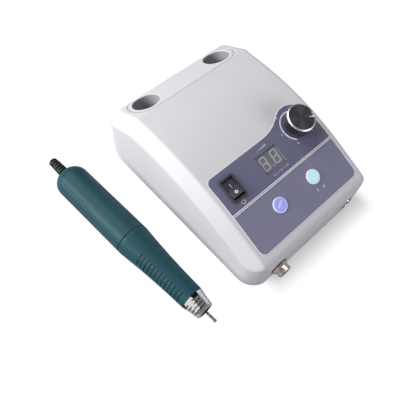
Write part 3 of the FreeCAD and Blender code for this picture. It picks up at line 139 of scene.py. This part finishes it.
# Settings that several finishes share, then the finishes by name
metalSockets = {"Metallic": 1.0}
finishes = {
    # ABS, injection moulded on a spark-eroded tool: a dry, even light grey that scatters its highlights
    "mouldedAbs": {
        "colour": "#dcdbe0", "worn": "#d6d5da", "roughness": (0.42, 0.56), "grain": 0.35, "drift": 60,
        "relief": 0.02, "softEdge": {"samples": 8, "radius": 4.0, "from": 59.0, "full": 62.0, "low": 9.0},
        "sockets": {"IOR": 1.53},
    },
    # The same ABS from a finer tool: smoother, and painted a little brighter for the stronger light on the
    # rest
    "mouldedAbsRestLit": {
        "colour": "#e0dfe4", "worn": "#dbdadf", "roughness": (0.34, 0.46), "grain": 0.3, "drift": 50,
        "relief": 0.012, "sockets": {"IOR": 1.53},
    },
    # Walls of the wells: grey nylon, painted darker than the housing as painted shade inside the wells
    "wellNylonPaintedShade": {
        "colour": "#b4b4ba", "worn": "#acacb2", "roughness": (0.3, 0.42), "grain": 0.3, "drift": 20,
        "relief": 0.01, "sockets": {"IOR": 1.53},
    },
    # Polyester foil printed on its back in slate blue: satin front with a soft sheen
    "satinPolyesterFoil": {
        "colour": "#6b6a87", "worn": "#706f8c", "roughness": (0.34, 0.42), "grain": 0.25, "drift": 35,
        "relief": 0.004, "sockets": {"IOR": 1.6},
    },
    # The front foil: the same foil painted lighter, a painted sheen for the brighter light towards the front
    "satinPolyesterFoilLit": {
        "colour": "#807f9b", "worn": "#8685a0", "roughness": (0.34, 0.42), "grain": 0.25, "drift": 35,
        "relief": 0.004, "sockets": {"IOR": 1.6},
    },
    # White screen ink: flat and slightly chalky
    "whiteScreenInk": {
        "colour": "#f6f6fc", "worn": "#eeeef6", "roughness": (0.45, 0.6), "grain": 0.2, "drift": 8,
        "relief": 0.004, "sockets": {"IOR": 1.5},
    },
    # Border of the foil: pale grey ink under the polyester
    "paleBorderInk": {
        "colour": "#f4f4f8", "worn": "#ececf2", "roughness": (0.35, 0.45), "grain": 0.2, "drift": 12,
        "relief": 0.004, "sockets": {"IOR": 1.5},
    },
    # Middle of the divider between its two white lines: silver-grey ink
    "silverInk": {
        "colour": "#b4b4c2", "worn": "#acacba", "roughness": (0.35, 0.45), "grain": 0.2, "drift": 12,
        "relief": 0.004, "sockets": {"IOR": 1.5},
    },
    # Glass-filled nylon of the power switch: slate black, a little lighter than the sockets
    "slateNylon": {
        "colour": "#3a3a43", "worn": "#42424c", "roughness": (0.36, 0.5), "grain": 0.3, "drift": 9,
        "relief": 0.012, "sockets": {"IOR": 1.53},
    },
    # Nylon, moulded matt for the sockets: near black with a grey bloom on its texture
    "blackNylon": {
        "colour": "#1d1d22", "worn": "#26262b", "roughness": (0.38, 0.55), "grain": 0.3, "drift": 9,
        "relief": 0.012, "sockets": {"IOR": 1.53},
    },
    # Potting resin of the display, unlit: milky grey bars in a dark grey case
    "milkyResin": {
        "colour": "#ffffff", "worn": "#f8f8f6", "roughness": (0.3, 0.4), "grain": 0.3, "drift": 4,
        "relief": 0.003, "sockets": {"IOR": 1.5},
    },
    "displayCase": {
        "colour": "#9c9ca6", "worn": "#a1a1ab", "roughness": (0.45, 0.55), "grain": 0.2, "drift": 10,
        "relief": 0.006, "sockets": {"IOR": 1.5},
    },
    # Silicone keys, tinted in the mass, with a faint painted glow in their emission
    "blueSiliconeGlow": {
        "colour": "#98a2fb", "worn": "#8f99f6", "roughness": (0.3, 0.4), "grain": 0.25, "drift": 6,
        "relief": 0.005,
        "sockets": {"IOR": 1.43, "Emission Color": toLinear("#bcc4ff"), "Emission Strength": 0.2},
    },
    "cyanSiliconeGlow": {
        "colour": "#c4f7fd", "worn": "#baf1f9", "roughness": (0.3, 0.4), "grain": 0.25, "drift": 6,
        "relief": 0.005,
        "sockets": {"IOR": 1.43, "Emission Color": toLinear("#e3e0ff"), "Emission Strength": 0.2},
    },
    "clearSiliconeGlow": {
        "colour": "#dde3fb", "worn": "#d4dbf8", "roughness": (0.25, 0.35), "grain": 0.25, "drift": 6,
        "relief": 0.004,
        "sockets": {"IOR": 1.43, "Emission Color": toLinear("#eef2ff"), "Emission Strength": 0.15},
    },
    # Turned aluminium, anodised black: dark metal with a silky streaked gloss
    "blackAnodisedTurned": {
        "colour": "#807f8b", "worn": "#888793", "roughness": (0.26, 0.34), "grain": 0.12, "drift": 6,
        "relief": 0.003, "sockets": {"Metallic": 1.0, "Anisotropic": 0.85},
    },
    # Its side and skirt: the same anodising, polished across the marks
    "blackAnodisedSide": {
        "colour": "#6a676e", "worn": "#737077", "roughness": (0.24, 0.32), "grain": 0.12, "drift": 6,
        "relief": 0.003, "sockets": metalSockets,
    },
    # Diamond-cut edge of the same knob: bare bright aluminium
    "diamondCutAluminium": {
        "colour": "#fbfbfd", "worn": "#f4f4f6", "roughness": (0.36, 0.46), "grain": 0.1, "drift": 5,
        "relief": 0.001, "sockets": metalSockets,
    },
    # Nickel plate on turned brass: warm grey mirror
    "nickelPlate": {
        "colour": "#f6ebe0", "worn": "#eadfd3", "roughness": (0.16, 0.28), "grain": 0.2, "drift": 4,
        "relief": 0.001, "sockets": metalSockets,
    },
    # Chrome on the steel nose: neutral, with hard dark reflections of the dim room, and painted dark
    # reflections in the bottoms of its rings
    "hardChrome": {
        "colour": "#f2f2f4", "worn": "#e6e6e8", "roughness": (0.16, 0.26), "grain": 0.2, "drift": 4,
        "relief": 0.001, "sockets": metalSockets,
    },
    # Bottoms of the nose's rings and its mouth: chrome painted dark, as painted shade and painted dark
    # reflections
    "chromePaintedShade": {
        "colour": "#3a3a3c", "worn": "#323234", "roughness": (0.12, 0.22), "grain": 0.2, "drift": 4,
        "relief": 0.001, "sockets": metalSockets,
    },
    # Shade in the fine joint round the rest insert
    "jointShade": {
        "colour": "#55555a", "worn": "#4c4c51", "roughness": (0.6, 0.7), "grain": 0.3, "drift": 20,
        "relief": 0.004, "sockets": {"IOR": 1.5},
    },
    # Gold flash on contacts
    "goldFlash": {
        "colour": "#d9b06a", "worn": "#c99c58", "roughness": (0.15, 0.3), "grain": 0.15, "drift": 2,
        "relief": 0.001, "sockets": metalSockets,
    },
    # Ground steel: shank, spindle, bearings and screws
    "groundSteel": {
        "colour": "#a2a3a6", "worn": "#939498", "roughness": (0.26, 0.38), "grain": 0.15, "drift": 4,
        "relief": 0.002, "sockets": metalSockets,
    },
    # Zinc plated sheet of the base: cool grey with faint spangle
    "zincPlatedSheet": {
        "colour": "#a9abaf", "worn": "#96989d", "roughness": (0.35, 0.5), "grain": 0.8, "drift": 14,
        "relief": 0.003, "sockets": metalSockets,
    },
    # Natural rubber, moulded: black with a dusty bloom
    "blackRubber": {
        "colour": "#1c1c1e", "worn": "#2a2a2c", "roughness": (0.5, 0.7), "grain": 0.25, "drift": 5,
        "relief": 0.02, "sockets": {"IOR": 1.52},
    },
    # Handpiece sleeve: silicone paint on aluminium, a deep petrol green that rolls off softly to its edge
    "petrolSoftTouch": {
        "colour": "#1d4a54", "worn": "#1a454f", "roughness": (0.44, 0.54), "grain": 0.2, "drift": 30,
        "relief": 0.004, "sockets": {"IOR": 1.32, "Sheen Weight": 0.03, "Sheen Roughness": 0.4},
    },
    # Solder mask on glass fibre board
    "greenSolderMask": {
        "colour": "#1d5a35", "worn": "#184e2e", "roughness": (0.3, 0.45), "grain": 0.4, "drift": 6,
        "relief": 0.01, "sockets": {"IOR": 1.5},
    },
    # Laminated silicon steel, varnished: dark stripes across the stack
    "varnishedLaminations": {
        "colour": "#4a4a4e", "worn": "#5c5a56", "roughness": (0.4, 0.6), "grain": 0.5, "drift": 3,
        "relief": 0.05, "stretch": (0.05, 1.0, 0.05), "sockets": {"Metallic": 0.7},
    },
    # Enamelled copper wire, wound: fine bands round the coil
    "enamelledCopper": {
        "colour": "#b86a3c", "worn": "#9c5530", "roughness": (0.25, 0.4), "grain": 0.6, "drift": 5,
        "relief": 0.1, "stretch": (0.05, 0.05, 1.0), "sockets": metalSockets,
    },
    # Extruded aluminium with its drawing lines
    "extrudedAluminium": {
        "colour": "#c3c5c8", "worn": "#b2b4b8", "roughness": (0.3, 0.45), "grain": 0.3, "drift": 5,
        "relief": 0.01, "stretch": (1.0, 1.0, 0.05), "sockets": metalSockets,
    },
    # Sintered ferrite and pressed carbon: dull charcoal with open pores
    "sinteredFerrite": {
        "colour": "#3a3a3e", "worn": "#2f2f33", "roughness": (0.6, 0.8), "grain": 0.4, "drift": 4,
        "relief": 0.03, "sockets": {"IOR": 2.0},
    },
    "pressedCarbon": {
        "colour": "#1f1f20", "worn": "#2a2a2b", "roughness": (0.5, 0.7), "grain": 0.3, "drift": 2,
        "relief": 0.02, "sockets": {"IOR": 1.8},
    },
    # Turned brass of the cam ring
    "turnedBrass": {
        "colour": "#c8a35a", "worn": "#b8924c", "roughness": (0.2, 0.32), "grain": 0.2, "drift": 4,
        "relief": 0.003, "sockets": metalSockets,
    },
    # Smoked acrylic lens of the display: thin, glossy and see-through
    "smokedAcrylic": {
        "colour": "#6a6a7a", "worn": "#6e6e7e", "roughness": (0.2, 0.28), "grain": 0.2, "drift": 10,
        "relief": 0.0005, "sockets": {"IOR": 1.49, "Alpha": 0.22},
    },
    "clearGlass": {
        "colour": "#dfe6e8", "worn": "#d6dee0", "roughness": (0.05, 0.1), "grain": 0.3, "drift": 5,
        "relief": 0.0005, "sockets": {"IOR": 1.52, "Alpha": 0.4},
    },
}
materials = {name: makeFinish(name, spec) for name, spec in finishes.items()}
print("stage 1: finishes", len(materials))

nodeFinish = {
    "mouldedAbs": ["top_cover"],
    # The rest insert's ABS is painted a little brighter, painted light
    "mouldedAbsRestLit": ["cradle_plate"],
    # Painted shade: the wells' walls are a darker grey than the housing
    "wellNylonPaintedShade": ["cradle_cups"],
    "satinPolyesterFoil": ["rear_film"],
    # The front foil is a lighter copy of the same foil, painted sheen
    "satinPolyesterFoilLit": ["front_film"],
    "paleBorderInk": ["panel_frame"],
    "silverInk": ["divider_strip"],
    "slateNylon": ["rocker_frame", "power_rocker"],
    "smokedAcrylic": ["display_window"],
    "displayCase": ["display_module"],
    "milkyResin": ["display_segments"],
    "greenSolderMask": ["display_board", "key_board", "supply_board"],
    # The keys and their rings carry a faint painted glow
    "blueSiliconeGlow": ["direction_button"],
    "cyanSiliconeGlow": ["mode_button"],
    "clearSiliconeGlow": ["button_rings"],
    "blackNylon": ["tact_switches", "socket_insert", "pedal_jack", "mains_inlet", "fuse_holder", "fuse_cap"],
    "blackAnodisedTurned": ["speed_knob"],
    "groundSteel": ["pot_shaft", "housing_screws", "inlet_pins", "spindle", "collet", "mandrel",
                    "motor_yoke", "rear_bearing", "front_bearings"],
    "zincPlatedSheet": ["base_plate", "potentiometer", "pot_nut"],
    "blackRubber": ["rubber_feet", "strain_relief", "socket_gasket"],
    "nickelPlate": ["socket_shell", "socket_nut", "jack_nut"],
    "hardChrome": ["nose_cone"],
    "goldFlash": ["socket_pins", "commutator"],
    "varnishedLaminations": ["transformer_core", "rotor"],
    "enamelledCopper": ["transformer_coil"],
    "extrudedAluminium": ["heat_sink", "capacitors", "end_bell", "spindle_housing"],
    "sinteredFerrite": ["magnets"],
    "pressedCarbon": ["brushes"],
    "turnedBrass": ["cam_ring"],
    "clearGlass": ["fuse_link"],
    "petrolSoftTouch": ["rear_shell", "grip_sleeve"],
}
for finish, names in nodeFinish.items():
    for name in names:
        nodes[name].data.materials.clear()
        nodes[name].data.materials.append(materials[finish])
unpainted = sorted(set(nodes) - {name for names in nodeFinish.values() for name in names})
print("stage 2: nodes painted, left over:", unpainted)


# Gives the faces of a node that pass the test a second finish
def paintFaces(name, finish, test):
    mesh = nodes[name].data
    mesh.materials.append(materials[finish])
    index = len(mesh.materials) - 1
    for face in mesh.polygons:
        if test(face.center, face.normal):
            face.material_index = index


# Speed knob: bright rim and pointer notch on the black body. Heights and radii are in mm.
knob = {"top": 14.2, "rimFrom": 11.55, "rimDrop": 0.8, "sideFrom": 11.9,
        "notchFrom": 7.1, "notchTo": 12.55, "notchHigh": 0.42, "notchLow": 1.2}
dialAxis = Vector(joints["dial_turn"]["axis"]).normalized()
dialPoint = Vector(joints["dial_turn"]["pos_m"])


def knobPlace(point):
    offset = point - dialPoint
    height = offset.dot(dialAxis)
    flat = offset - dialAxis * height
    return height / mm, flat.length / mm


def onKnobSide(centre, normal):
    return knobPlace(centre)[1] > knob["sideFrom"]


def onKnobRim(centre, normal):
    height, radius = knobPlace(centre)
    return height > knob["top"] - knob["rimDrop"] and radius > knob["rimFrom"]


def inKnobNotch(centre, normal):
    height, radius = knobPlace(centre)
    sunk = knob["top"] - height
    return knob["notchHigh"] < sunk < knob["notchLow"] and knob["notchFrom"] < radius < knob["notchTo"]


paintFaces("speed_knob", "blackAnodisedSide", onKnobSide)
paintFaces("speed_knob", "diamondCutAluminium", onKnobRim)
paintFaces("speed_knob", "diamondCutAluminium", inKnobNotch)

# The knob's turning marks run round the dial's axis, so highlights spread into wedges
turnedTree = materials["blackAnodisedTurned"].node_tree
spot = addNode(turnedTree, "ShaderNodeNewGeometry").outputs["Position"]
fromAxis = addNode(turnedTree, "ShaderNodeVectorMath", {"operation": "SUBTRACT", 1: dialPoint}, {0: spot})
roundAxis = addNode(turnedTree, "ShaderNodeVectorMath", {"operation": "CROSS_PRODUCT", 1: dialAxis},
                    {0: fromAxis.outputs["Vector"]})
turnedTree.links.new(roundAxis.outputs["Vector"], turnedTree.nodes["Principled BSDF"].inputs["Tangent"])

# Nose: the bottoms of its rings and its mouth get painted shade and painted dark reflections, save beside
# the two spanner flats.
# mouth is a radius in mm, flatTurn and flatHalf are degrees round the nose from straight up.
nose = {"mouth": 5.9, "flatTurn": 52.0, "flatHalf": 30.0, "square": 0.999}
spinAxis = Vector(joints["spindle_spin"]["axis"]).normalized()
spinPoint = Vector(joints["spindle_spin"]["pos_m"])
upward = Vector((0, 0, 1))
noseSide = upward.cross(spinAxis).normalized()
flatTurn = math.radians(nose["flatTurn"])
flatWay = math.cos(flatTurn) * upward + math.sin(flatTurn) * noseSide


def onRingBottom(centre, normal):
    offset = centre - spinPoint
    across = offset - spinAxis * offset.dot(spinAxis)
    if across.length < nose["mouth"] * mm:
        return True
    way = across.normalized()
    awayFromFlats = abs(way.dot(flatWay)) < math.cos(math.radians(nose["flatHalf"]))
    return normal.dot(way) > nose["square"] and awayFromFlats


paintFaces("nose_cone", "chromePaintedShade", onRingBottom)

# Rest insert: its outer sides are painted with shade, so the joint round it shows dark; the walls of its two
# holes take the wells' darker grey, painted shade as inside the wells
rest = {"wellOffset": 42.0, "sideLean": 0.05}
restLow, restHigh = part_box("cradle_plate")
restMiddle = (restLow + restHigh) / 2
restNormal = max(nodes["cradle_plate"].data.polygons, key=lambda face: face.area).normal.copy()


def facesOut(centre, normal):
    reach = rest["wellOffset"] * mm
    x = min(max(centre.x, unitCentreX - reach), unitCentreX + reach)
    return (centre - Vector((x, restMiddle.y, restMiddle.z))).dot(normal) > 0


def onRestSide(centre, normal):
    return abs(normal.dot(restNormal)) < rest["sideLean"] and facesOut(centre, normal)


def inRestHole(centre, normal):
    return abs(normal.dot(restNormal)) < rest["sideLean"] and not facesOut(centre, normal)


paintFaces("cradle_plate", "jointShade", onRestSide)
paintFaces("cradle_plate", "wellNylonPaintedShade", inRestHole)
print("stage 3: knob, nose and rest insert painted")

# Screen print: how thick a sheet of ink stands on a surface, how deep it sinks in, and the height
# from which its outline is dropped, in mm
inkSheet = {"thickness": 0.06, "sink": 0.02, "dropFrom": 200}


# Makes closed thin sheets of ink from outlines in plan, laid on a node's surface.
# loops are lists of (x, y) in mm in the unit's plan; each sheet follows whatever it lies on.
def layInk(name, loops, node, finish, thickness=inkSheet["thickness"]):
    surface = BVHTree.FromObject(nodes[node], bpy.context.evaluated_depsgraph_get())
    shape = bmesh.new()
    for loop in loops:
        top, low = [], []
        for x, y in loop:
            start = inUnit(x, y, inkSheet["dropFrom"])
            hit, normal, _, _ = surface.ray_cast(start, Vector((0, 0, -1)))
            if hit is None:
                continue
            top.append(shape.verts.new(hit + normal * thickness * mm))
            low.append(shape.verts.new(hit - normal * inkSheet["sink"] * mm))
        count = len(top)
        if count < 3:
            continue
        shape.faces.new(top)
        shape.faces.new(low[::-1])
        for i in range(count):
            j = (i + 1) % count
            shape.faces.new((top[j], top[i], low[i], low[j]))
    bmesh.ops.recalc_face_normals(shape, faces=shape.faces)
    mesh = bpy.data.meshes.new(name)
    shape.to_mesh(mesh)
    shape.free()
    piece = bpy.data.objects.new(name, mesh)
    bpy.context.scene.collection.objects.link(piece)
    mesh.materials.append(materials[finish])
    return piece


# A band round a point, in quads of step degrees. slope is the lean of the surface it is meant for.
def arcBand(centreX, centreY, radius, width, start, stop, slope, step=4.0):
    quads = []
    count = max(1, round(abs(stop - start) / step))
    angles = [math.radians(start + (stop - start) * i / count) for i in range(count + 1)]
    lean = math.cos(math.radians(slope))
    for a, b in zip(angles, angles[1:]):
        quads.append([(centreX + r * math.sin(t), centreY + r * math.cos(t) * lean)
                      for r, t in ((radius, a), (radius + width, a), (radius + width, b), (radius, b))])
    return quads


def strip(x0, y0, x1, y1, width):
    along = Vector((x1 - x0, y1 - y0)).normalized()
    across = Vector((-along.y, along.x)) * width / 2
    a, b = Vector((x0, y0)), Vector((x1, y1))
    return [tuple(a - across), tuple(b - across), tuple(b + across), tuple(a + across)]


# The strokes of a sign, each from one end to the other beside the sign's middle, with its width
def strokeLoops(sign):
    x, y = sign["at"]
    return [strip(x + x0, y + y0, x + x1, y + y1, width) for x0, y0, x1, y1, width in sign["strokes"]]


# Places of what repeats along a row, as (number, x, y)
def rowPlaces(row):
    x, y = row["at"]
    return [(i, x + (i - (row["count"] - 1) / 2) * row["pitch"], y) for i in range(row["count"])]


# Plain digits as outlines of a text curve, turned into flat faces
def digitLoops(text, x, y, size, slope):
    curve = bpy.data.curves.new("digit", "FONT")
    curve.body = text
    curve.size = size
    curve.align_x = "CENTER"
    curve.align_y = "CENTER"
    holder = bpy.data.objects.new("digit", curve)
    bpy.context.scene.collection.objects.link(holder)
    bpy.context.view_layer.update()
    mesh = bpy.data.meshes.new_from_object(holder)
    lean = math.cos(math.radians(slope))
    loops = [[(x + mesh.vertices[i].co.x, y + mesh.vertices[i].co.y * lean) for i in face.vertices]
             for face in mesh.polygons]
    bpy.data.objects.remove(holder)
    return loops


# Dial print round the speed knob: arc in five steps with plain numbers, angles in degrees from the rear
dialPrint = {"x": 39.55, "y": 72.04, "slope": 14.5, "radius": 13.1, "width": 1.15, "gap": 2.2,
             "stops": (-146, -91, -34, 22, 78, 118), "labelRadius": 16.7, "labelSize": 2.9,
             "labels": ((-146, "0"), (-91, "1"), (-34, "2"), (143, "5"))}
dialLoops = []
for begin, end in zip(dialPrint["stops"], dialPrint["stops"][1:]):
    dialLoops += arcBand(dialPrint["x"], dialPrint["y"], dialPrint["radius"], dialPrint["width"],
                         begin + dialPrint["gap"] / 2, end - dialPrint["gap"] / 2, dialPrint["slope"])
for angle, label in dialPrint["labels"]:
    turn = math.radians(angle)
    dialLoops += digitLoops(label, dialPrint["x"] + dialPrint["labelRadius"] * math.sin(turn),
                            dialPrint["y"] + dialPrint["labelRadius"] * math.cos(turn),
                            dialPrint["labelSize"], dialPrint["slope"])
dialInk = layInk("dial_print", dialLoops, "rear_film", "whiteScreenInk")
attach(dialInk, "control_unit")
print("stage 4: dial print")

# Two white lines along the divider, in short lengths that follow the panel's crown
dividerLines = {"y": 45.6, "apart": 1.5, "width": 0.5, "half": 59.2, "count": 24}
lineLoops = []
for side in (-0.5, 0.5):
    y = dividerLines["y"] + side * dividerLines["apart"]
    stops = [dividerLines["half"] * (2 * i / dividerLines["count"] - 1)
             for i in range(dividerLines["count"] + 1)]
    lineLoops += [strip(a, y, b, y, dividerLines["width"]) for a, b in zip(stops, stops[1:])]
lineInk = layInk("divider_lines", lineLoops, "divider_strip", "whiteScreenInk")
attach(lineInk, "control_unit")

# Signs of the rear foil: a power sign by the rocker, rising bars above the display, a row of ticks below
powerSign = {"at": (-44.3, 50.0), "radius": 1.5, "line": 0.4, "from": 35, "to": 325, "slope": 18, "step": 15,
             "strokes": [(0, 0.3, 0, 2.0, 0.4)]}
levelBars = {"at": (-1.3, 74.2), "count": 7, "pitch": 1.7, "width": 0.55, "foot": -0.9, "head": -0.6,
             "rise": 0.25}
scaleTicks = {"at": (0.7, 50.4), "count": 9, "pitch": 2.0, "width": 0.3, "tall": 0.9, "short": 0.5,
              "tallEvery": 4}
signLoops = arcBand(*powerSign["at"], powerSign["radius"], powerSign["line"], powerSign["from"],
                    powerSign["to"], powerSign["slope"], powerSign["step"])
signLoops += strokeLoops(powerSign)
for i, x, y in rowPlaces(levelBars):
    head = y + levelBars["head"] + levelBars["rise"] * i
    signLoops.append(strip(x, y + levelBars["foot"], x, head, levelBars["width"]))
for i, x, y in rowPlaces(scaleTicks):
    tall = scaleTicks["tall"] if i % scaleTicks["tallEvery"] == 0 else scaleTicks["short"]
    signLoops.append(strip(x, y - tall, x, y + tall, scaleTicks["width"]))
rearInk = layInk("rear_signs", signLoops, "rear_film", "whiteScreenInk")
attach(rearInk, "control_unit")

# Signs of the front foil beside the cyan key: a lever and a wedge
lever = {"at": (17.2, 20.1), "strokes": [(-0.4, -1.2, 0.4, 1.2, 0.6)]}
wedge = {"at": (24.4, 19.5), "strokes": [(-0.9, -0.8, 0.9, -0.8, 0.45), (-0.7, -0.6, 0.5, 1.0, 0.55)]}
frontInk = layInk("front_signs", strokeLoops(lever) + strokeLoops(wedge), "front_film", "whiteScreenInk")
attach(frontInk, "control_unit")
print("stage 5: signs")

# Marks on moving pieces: a slash on the blue key, a ring on the cyan key and the rocker's two signs
blueMark = {"at": (-20.4, 30.6), "strokes": [(-3.4, -1.7, 3.4, 1.7, 0.9)]}
slash = layInk("blue_key_slash", strokeLoops(blueMark), "direction_button", "whiteScreenInk")
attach(slash, "direction_key")
cyanMark = {"at": (20.9, 30.6), "radius": 4.9, "width": 0.3, "slope": 23.5, "step": 8, "thickness": 0.04}
ringLoops = arcBand(*cyanMark["at"], cyanMark["radius"], cyanMark["width"], 0, 360, cyanMark["slope"],
                    cyanMark["step"])
# The cyan key's ring is clear silicone with the same faint painted glow
ring = layInk("cyan_key_ring", ringLoops, "mode_button", "clearSiliconeGlow", cyanMark["thickness"])
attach(ring, "mode_key")
rockerOn = {"at": (-44.8, 65.0), "strokes": [(0, -1.7, 0, 1.7, 0.36)]}
rockerOff = {"at": (-44.8, 58.4), "radius": 0.75, "width": 0.75, "slope": 18, "step": 20}
rockerLoops = strokeLoops(rockerOn) + arcBand(*rockerOff["at"], rockerOff["radius"], rockerOff["width"],
                                              0, 360, rockerOff["slope"], rockerOff["step"])
rockerInk = layInk("rocker_signs", rockerLoops, "power_rocker", "whiteScreenInk")
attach(rockerInk, "rocker")
print("stage 6: key and rocker marks")

# Studio: white paper floor, a softbox low at the left, one high at the rear, a fill in front, and a
# small card at the left that the nose mirrors. The room itself stays dim, so that metal shows dark
# bands between the boxes. Places and sizes are in m; the shade's reach over the floor is in mm.
studio = {
    "floor": 3.0, "paper": "#b0b0b6", "seenPaper": "#f6f2fb", "paperGlow": 1.03, "room": 0.17,
    "backdrop": 1.0,
    "shade": {"glow": 0.97, "loss": 0.6, "reach": 24.0, "behind": 20.0, "centre": 12.0, "side": 56.0,
              "fade": 18.0},
    "boxes": {
        "leftBox": {"at": (-0.8, 0.42, 0.44), "size": (0.55, 0.4), "power": 9.6},
        "rearBox": {"at": (-0.15, 0.75, 1.15), "size": (0.8, 0.6), "power": 8.2},
        "frontFill": {"at": (0.45, -1.25, 0.5), "size": (0.8, 0.5), "power": 6.2},
        "leftCard": {"at": (-0.9, -0.12, 0.42), "size": (0.26, 0.2), "power": 0.13},
    },
}
floorMesh = bpy.data.meshes.new("floor")
half = studio["floor"]
floorMesh.from_pydata([(-half, -half, 0), (half, -half, 0), (half, half, 0), (-half, half, 0)], [],
                      [(0, 1, 2, 3)])
floor = bpy.data.objects.new("floor", floorMesh)
bpy.context.scene.collection.objects.link(floor)


# The paper glows white, less so in a band along the front of the unit, where its shade shows
def glowShare(tree, shade):
    position = addNode(tree, "ShaderNodeNewGeometry").outputs["Position"]
    parts = addNode(tree, "ShaderNodeSeparateXYZ", {}, {0: position})
    rise = {"interpolation_type": "SMOOTHSTEP", "To Min": 0.0, "To Max": 1.0}
    fall = {"interpolation_type": "SMOOTHSTEP", "To Min": 1.0, "To Max": 0.0}
    near = addNode(tree, "ShaderNodeMapRange",
                   {**rise, "From Min": unitFrontY - shade["reach"] * mm, "From Max": unitFrontY},
                   {"Value": parts.outputs["Y"]})
    past = addNode(tree, "ShaderNodeMapRange",
                   {**fall, "From Min": unitFrontY, "From Max": unitFrontY + shade["behind"] * mm},
                   {"Value": parts.outputs["Y"]})
    aside = addNode(tree, "ShaderNodeMath",
                    {"operation": "SUBTRACT", 1: unitCentreX + shade["centre"] * mm},
                    {0: parts.outputs["X"]})
    away = addNode(tree, "ShaderNodeMath", {"operation": "ABSOLUTE"}, {0: aside.outputs[0]})
    sideEnd = shade["side"] + shade["fade"]
    within = addNode(tree, "ShaderNodeMapRange",
                     {**fall, "From Min": shade["side"] * mm, "From Max": sideEnd * mm},
                     {"Value": away.outputs[0]})
    band = addNode(tree, "ShaderNodeMath", {"operation": "MULTIPLY"},
                   {0: near.outputs["Result"], 1: past.outputs["Result"]})
    patch = addNode(tree, "ShaderNodeMath", {"operation": "MULTIPLY"},
                    {0: band.outputs[0], 1: within.outputs["Result"]})
    share = addNode(tree, "ShaderNodeMapRange",
                    {"To Min": shade["glow"], "To Max": shade["glow"] - shade["loss"]},
                    {"Value": patch.outputs[0]})
    return share.outputs["Result"]


floorPaint = bpy.data.materials.new("whitePaperSweep")
floorPaint.use_nodes = True
tree = floorPaint.node_tree
tree.nodes.clear()
path = addNode(tree, "ShaderNodeLightPath")
paper = addNode(tree, "ShaderNodeBsdfDiffuse", {"Color": toLinear(studio["paper"])})
seenPaper = addNode(tree, "ShaderNodeBsdfDiffuse", {"Color": toLinear(studio["seenPaper"])})
white = addNode(tree, "ShaderNodeEmission", {"Color": toLinear("#ffffff"), "Strength": studio["paperGlow"]})
washed = addNode(tree, "ShaderNodeMixShader", {},
                 {0: glowShare(tree, studio["shade"]), 1: seenPaper.outputs[0], 2: white.outputs[0]})
both = addNode(tree, "ShaderNodeMixShader", {},
               {0: path.outputs["Is Camera Ray"], 1: paper.outputs[0], 2: washed.outputs[0]})
addNode(tree, "ShaderNodeOutputMaterial", {}, {"Surface": both.outputs[0]})
floorMesh.materials.append(floorPaint)

world = bpy.data.worlds.new("dimRoom")
bpy.context.scene.world = world
world.use_nodes = True
tree = world.node_tree
tree.nodes.clear()
path = addNode(tree, "ShaderNodeLightPath")
room = addNode(tree, "ShaderNodeBackground", {"Color": toLinear("#ffffff"), "Strength": studio["room"]})
backdrop = addNode(tree, "ShaderNodeBackground",
                   {"Color": toLinear("#ffffff"), "Strength": studio["backdrop"]})
seen = addNode(tree, "ShaderNodeMixShader", {},
               {0: path.outputs["Is Camera Ray"], 1: room.outputs[0], 2: backdrop.outputs[0]})
addNode(tree, "ShaderNodeOutputWorld", {}, {"Surface": seen.outputs[0]})

for name, box in studio["boxes"].items():
    lamp = bpy.data.lights.new(name, "AREA")
    lamp.shape = "RECTANGLE"
    lamp.size, lamp.size_y = box["size"]
    lamp.energy = box["power"]
    holder = bpy.data.objects.new(name, lamp)
    holder.location = box["at"]
    holder.rotation_euler = (-Vector(box["at"])).to_track_quat("-Z", "Y").to_euler()
    bpy.context.scene.collection.objects.link(holder)

# Camera at the photograph's place, solved from the unit's edges: place and aim in mm in the unit,
# roll in degrees
shot = {"place": (-196.52, -41.27, 372.0), "aim": (-44.0, 96.62, 0.0), "roll": 6.07, "lens": 40.5,
        "sensor": 36}
lens = bpy.data.cameras.new("camera")
lens.lens = shot["lens"]
lens.sensor_width = shot["sensor"]
camera = bpy.data.objects.new("camera", lens)
bpy.context.scene.collection.objects.link(camera)
place = inUnit(*shot["place"])
aim = inUnit(*shot["aim"])
turn = (aim - place).to_track_quat("-Z", "Y").to_matrix().to_4x4()
camera.matrix_world = Matrix.Translation(place) @ turn @ Matrix.Rotation(math.radians(shot["roll"]), 4, "Z")
bpy.context.scene.camera = camera
bpy.context.scene.view_settings.view_transform = "Standard"
print("stage 7: studio and camera")
